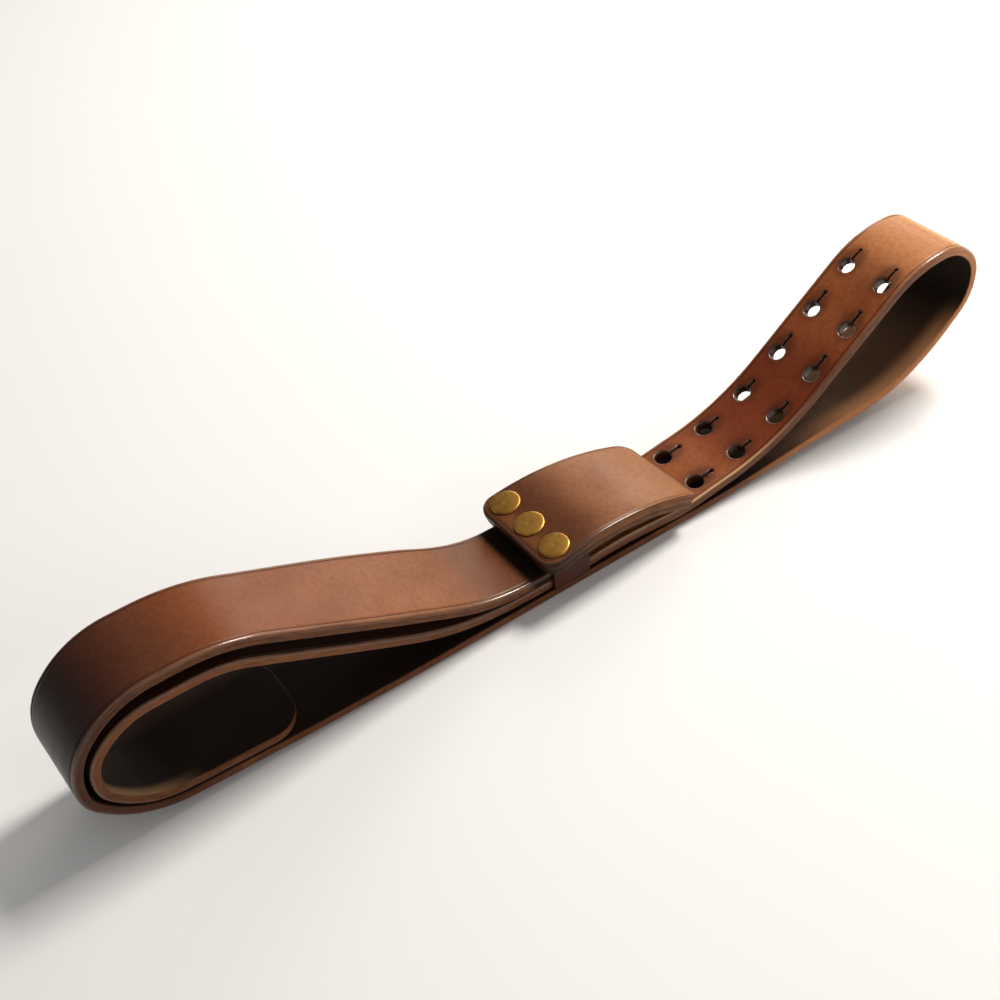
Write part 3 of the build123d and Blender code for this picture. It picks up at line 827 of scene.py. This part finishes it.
def make_hole_cutters(material):
    """One object of all keyholes, each a tube that flares where it leaves the grain side."""
    top = STRAP_THICKNESS / 2
    heights = (-top - 0.32, -top + 0.15, top - 0.75, top - 0.4, top - 0.15, top, top + 0.3)
    flares = dict(zip(heights, (-0.2, -0.25, -0.2, -0.02, 0.2, 0.5, 1.0)))
    slit_flares = dict(zip(heights, (0.0, 0.0, 0.02, 0.1, 0.24, 0.46, 0.85)))

    def keyhole(height):
        """One outline: round hole, straight slit and small round end."""
        big = HOLE_DIAMETER / 2 + flares[height]
        half = SLIT_WIDTH / 2 + slit_flares[height]
        small = SLIT_END_DIAMETER / 2 + slit_flares[height]
        big_turn = math.degrees(math.asin(half / big))
        small_turn = math.degrees(math.asin(half / small))
        points = arc_points(big, 0, 0, big_turn, 360 - big_turn, 40)
        points += arc_points(small, SLIT_LENGTH, 0, 180 + small_turn, 540 - small_turn, 14)
        return points

    bm = bmesh.new()
    for pair in range(HOLE_PAIRS):
        for y in (-HOLE_SPACING / 2, HOLE_SPACING / 2):
            add_prism(bm, keyhole, heights, keyhole_placement(FIRST_HOLE_AT + pair * HOLE_PITCH, y))
    mesh = bpy.data.meshes.new("keyhole_cutters")
    bmesh.ops.recalc_face_normals(bm, faces=bm.faces)
    bm.to_mesh(mesh)
    bm.free()
    mesh.materials.append(material)
    obj = bpy.data.objects.new("keyhole_cutters", mesh)
    bpy.context.scene.collection.objects.link(obj)
    return obj


def cut(obj, cutter):
    """Takes the cutter out of the object, removes the cutter and clears the slivers it leaves."""
    modifier = obj.modifiers.new("cut", "BOOLEAN")
    modifier.operation = "DIFFERENCE"
    modifier.solver = "EXACT"
    modifier.material_mode = "TRANSFER"
    modifier.object = cutter
    apply_modifiers(obj)
    bpy.data.objects.remove(cutter)
    with edited(obj) as bm:
        bmesh.ops.dissolve_degenerate(bm, edges=bm.edges, dist=SLIVER * MM)
    smooth(obj)


strap = make_strap()
strap.data.materials.append(strap_leather())
cut(strap, make_hole_cutters(hole_leather()))
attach(strap, "belt")
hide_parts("strap")


# ---- cover plate ---------------------------------------------------------------------------------
HALF_PLY = PLY_THICKNESS / 2
PLATE_MIDDLE_RADIUS = PLATE_RADIUS + PLY_THICKNESS
PLATE_START_ANGLE = math.asin((PLATE_LEFT_X - PLATE_ARC_X) / PLATE_MIDDLE_RADIUS)
PLATE_END_ANGLE = math.asin((PLATE_RIGHT_X - PLATE_ARC_X) / PLATE_MIDDLE_RADIUS)
PLATE_LENGTH = PLATE_MIDDLE_RADIUS * (PLATE_END_ANGLE - PLATE_START_ANGLE)
PLATE_TAPER = 1 - PLATE_RIGHT_WIDTH / PLATE_LEFT_WIDTH
# The backing ply is this much narrower and shorter than the cover ply.
BACKING_TRIM = 0.5
# Divisions of an outline's short ends, long sides and corners.
END_STEPS = 24
SIDE_STEPS = 56
CORNER_STEPS = 10
# Points nearer to each other than this are one point.
SAME_POINT = 0.02


def plate_outline(length, width, inset):
    """Outline of a ply before it is narrowed, drawn in from its edge: (along, across) points."""
    half = width / 2
    corners = (
        (1, -1, NEAR_CORNER_RADIUS, -90),
        (1, 1, FAR_CORNER_RADIUS, 0),
        (-1, 1, PLATE_LEFT_CORNER_RADIUS, 90),
        (-1, -1, PLATE_LEFT_CORNER_RADIUS, 180),
    )
    arcs = []
    for end, side, radius, start in corners:
        reach = max(radius, inset)
        centre_along = length - reach if end > 0 else reach
        centre_across = side * (half - reach)
        left_over = max(radius - inset, 0.0)
        arcs.append(arc_points(left_over, centre_along, centre_across, start, start + 90, CORNER_STEPS))
    points = []
    for index, count in enumerate((END_STEPS, SIDE_STEPS) * 2):
        x0, y0 = arcs[index][-1]
        x1, y1 = arcs[(index + 1) % 4][0]
        points += arcs[index]
        for i in range(1, count):
            points.append((x0 + (x1 - x0) * i / count, y0 + (y1 - y0) * i / count))
    return points


def on_arc(along, across, height, base_radius):
    """Point of the bent plate: along its arc from the left end, across, and above the ply's middle."""
    angle = PLATE_START_ANGLE + along / PLATE_MIDDLE_RADIUS
    radius = base_radius + height
    return (PLATE_ARC_X + radius * math.sin(angle), across, PLATE_ARC_Z + radius * math.cos(angle))


def make_ply(name, base_radius, rings, width, length, shift, material):
    """Closed slab from nested outlines; rings are (inset, height) from the top's middle to the bottom's.

    The first and last outlines are as narrow as a line, where the two halves of a face meet.
    """
    verts = []
    along_map = []
    section_map = []
    loops = []
    for inset, height in rings:
        outline = plate_outline(length, width, min(inset, width / 2))
        ring = []
        for along, across in outline:
            ring.append(len(verts))
            narrowed = across * (1 - PLATE_TAPER * along / length)
            skewed = along - PLATE_END_SKEW * (across / width) * (along / length)
            verts.append(on_arc(skewed + shift, narrowed, height, base_radius))
            along_map.append(((along + shift) * MAP_SCALE, across * MAP_SCALE))
            section_map.append((inset * MAP_SCALE, height * MAP_SCALE))
        loops.append(ring)
    uvs = {"strap_map": along_map, "section_map": section_map}
    obj = new_object(name, verts, band_faces(loops), uvs)
    with edited(obj) as bm:
        bmesh.ops.remove_doubles(bm, verts=bm.verts, dist=SAME_POINT * MM)
    fix_normals(obj)
    smooth(obj)
    obj.data.materials.append(material)
    return obj


# Insets of the outlines that divide a ply's flat faces, from the middle line outwards.
FACE_INSETS = (PLATE_LEFT_WIDTH / 2, 22.0, 19.0, 16.0, 13.0, 10.0, 7.5, 5.0, 3.4)
inside_top = [(inset, HALF_PLY) for inset in FACE_INSETS]
inside_bottom = [(inset, -HALF_PLY) for inset in FACE_INSETS[::-1]]
cover_rings = inside_top + [
    (2.3, HALF_PLY),
    (2.05, HALF_PLY - 0.16),
    (1.85, HALF_PLY - 0.17),
    (1.62, HALF_PLY - 0.03),
    (1.2, HALF_PLY - 0.06),
    (0.75, HALF_PLY - 0.2),
    (0.38, HALF_PLY - 0.5),
    (0.12, HALF_PLY - 0.95),
    (0.0, HALF_PLY - 1.5),
    (0.0, -HALF_PLY + 0.35),
    (0.08, -HALF_PLY + 0.12),
    (0.25, -HALF_PLY),
] + inside_bottom
backing_rings = inside_top + [
    (0.3, HALF_PLY),
    (0.12, HALF_PLY - 0.12),
    (0.02, HALF_PLY - 0.35),
    (0.0, -HALF_PLY + 1.3),
    (0.12, -HALF_PLY + 0.8),
    (0.42, -HALF_PLY + 0.36),
    (0.9, -HALF_PLY + 0.08),
    (1.6, -HALF_PLY),
] + inside_bottom

cover_ply = make_ply(
    "cover_ply",
    PLATE_MIDDLE_RADIUS + HALF_PLY,
    cover_rings,
    PLATE_LEFT_WIDTH,
    PLATE_LENGTH,
    0.0,
    cover_leather(),
)
backing_ply = make_ply(
    "backing_ply",
    PLATE_RADIUS + HALF_PLY,
    backing_rings,
    PLATE_LEFT_WIDTH - BACKING_TRIM,
    PLATE_LENGTH - BACKING_TRIM,
    BACKING_TRIM / 2,
    backing_leather(),
)
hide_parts("cover_ply_heel", "cover_ply_flap")
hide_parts("backing_ply_heel", "backing_ply_flap")
for ply in (cover_ply, backing_ply):
    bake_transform(ply)


# ---- keeper --------------------------------------------------------------------------------------


def make_keeper(material):
    """Band round the strap with rounded corners and softened edges."""
    low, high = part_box("keeper")
    left, right = low.x / MM, high.x / MM
    half_y = high.y / MM
    bottom, top = low.z / MM, high.z / MM
    wall = 1.4
    corner = 1.6
    profile = [
        (0.0, 0.45),
        (0.12, 0.18),
        (0.4, 0.0),
        (wall - 0.3, 0.0),
        (wall - 0.05, 0.1),
        (wall, 0.35),
    ]
    section = [(depth, left + inset) for depth, inset in profile]
    section += [(depth, right - inset) for depth, inset in profile[::-1]]

    def outline(depth):
        """Rounded rectangle at a depth below the band's outer face."""
        points = []
        radius = max(corner - depth, 0.25)
        reach = depth + radius
        corners = (
            (half_y - reach, bottom + reach, -90),
            (half_y - reach, top - reach, 0),
            (-half_y + reach, top - reach, 90),
            (-half_y + reach, bottom + reach, 180),
        )
        for cy, cz, start in corners:
            points += arc_points(radius, cy, cz, start, start + 90, 6)
        return points

    verts = []
    rings = []
    for depth, x in section:
        ring = []
        for y, z in outline(depth):
            ring.append(len(verts))
            verts.append((x, y, z))
        rings.append(ring)
    obj = new_object("leather_keeper", verts, band_faces(rings + rings[:1]))
    obj.data.materials.append(material)
    return obj


keeper = make_keeper(keeper_leather())
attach(keeper, "belt")
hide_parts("keeper")


# ---- rivets, studs and screws --------------------------------------------------------------------
# How far a cap stands clear of the plate.
CAP_GAP = 0.02
cap_brass = aged_brass("cap_brass", colour(196, 146, 70), colour(150, 106, 48), 0.32, 0.44)
plain_brass = aged_brass("hidden_brass", colour(190, 152, 84), colour(140, 108, 56), 0.25, 0.38)


def cap_placement(y):
    """Seat of a rivet cap: on the plate's top, square to its arc."""
    top_radius = PLATE_RADIUS + 2 * PLY_THICKNESS
    angle = math.asin((RIVET_X - PLATE_ARC_X) / top_radius)
    outward = Vector((math.sin(angle), 0, math.cos(angle)))
    along = Vector((math.cos(angle), 0, -math.sin(angle)))
    origin = Vector((PLATE_ARC_X, y, PLATE_ARC_Z)) + outward * (top_radius + CAP_GAP)
    return placement_matrix(along, outward.cross(along), outward, origin)


# Radius and height of a cap's outline, from the middle of its underside to the dent in its top.
cap_profile = [
    (0.0, 0.0),
    (CAP_RADIUS - 0.2, 0.0),
    (CAP_RADIUS - 0.04, 0.06),
    (CAP_RADIUS, 0.22),
    (CAP_RADIUS - 0.03, 0.42),
    (CAP_RADIUS - 0.14, 0.62),
    (CAP_RADIUS - 0.32, 0.78),
    (CAP_RADIUS - 0.58, 0.88),
    (CAP_RADIUS - 0.95, 0.94),
    (CAP_RADIUS - 1.6, 1.0),
    (3.8, 1.07),
    (2.6, 1.12),
    (1.6, 1.14),
    (1.0, 1.13),
    (0.6, 1.09),
    (0.3, 1.06),
    (0.0, 1.05),
]
for side, y in (("near", -RIVET_PITCH), ("mid", 0.0), ("far", RIVET_PITCH)):
    cap = lathe("brass_cap_" + side, cap_profile, 72, cap_placement(y), cap_brass)
    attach(cap, "belt")
    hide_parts("rivet_cap_" + side)

for name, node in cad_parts.items():
    if name.startswith(("rivet_post", "stud")):
        node.data.materials.clear()
        node.data.materials.append(plain_brass)


# ---- floor, light and camera, in metres ----------------------------------------------------------
FLOOR_REACH = 4.0
FLOOR_Z = -0.0003
floor_mesh = bpy.data.meshes.new("floor")
corner_signs = ((-1, -1), (1, -1), (1, 1), (-1, 1))
floor_corners = [(x * FLOOR_REACH, y * FLOOR_REACH, FLOOR_Z) for x, y in corner_signs]
floor_mesh.from_pydata(floor_corners, [], [(0, 1, 2, 3)])
floor = bpy.data.objects.new("floor", floor_mesh)
bpy.context.scene.collection.objects.link(floor)
floor.data.materials.append(floor_material())


def area_light(name, place, target, size, power, tint):
    """Rectangular light aimed at a point, with its power in watts."""
    light = bpy.data.lights.new(name, "AREA")
    light.shape = "RECTANGLE"
    light.size, light.size_y = size
    light.energy = power
    light.color = tint
    obj = bpy.data.objects.new(name, light)
    bpy.context.scene.collection.objects.link(obj)
    obj.location = place
    obj.rotation_euler = (Vector(target) - Vector(place)).to_track_quat("-Z", "Y").to_euler()


area_light("key", (0.85, 0.15, 1.15), (0.05, 0, 0.03), (0.4, 0.4), 19, (1.0, 0.95, 0.88))
area_light("back", (0.98, 0.95, 0.6), (0, 0, 0.03), (0.7, 0.5), 5, (1.0, 0.94, 0.86))
area_light("front", (0.35, -1.3, 0.75), (0, 0, 0.03), (1.4, 0.07), 3, (1.0, 0.94, 0.86))

world = bpy.data.worlds.new("studio")
bpy.context.scene.world = world
world.use_nodes = True
background = world.node_tree.nodes["Background"]
background.inputs["Color"].default_value = (1.0, 0.985, 0.965, 1.0)
background.inputs["Strength"].default_value = 0.28
bpy.context.scene.view_settings.view_transform = "Standard"

camera_data = bpy.data.cameras.new("camera")
camera_data.sensor_width = 36.0
camera_data.lens = 54.1
camera_data.clip_start = 0.01
camera = bpy.data.objects.new("camera", camera_data)
bpy.context.scene.collection.objects.link(camera)
camera_place = Vector((-0.26215, -0.3721, 0.4354))
view_right = Vector((0.81, -0.58196, -0.07224)).normalized()
view_forward = Vector((0.39636, 0.63409, -0.66395)).normalized()
view_up = view_right.cross(view_forward).normalized()
camera.matrix_world = placement_matrix(view_right, view_up, -view_forward, camera_place)
bpy.context.scene.camera = camera
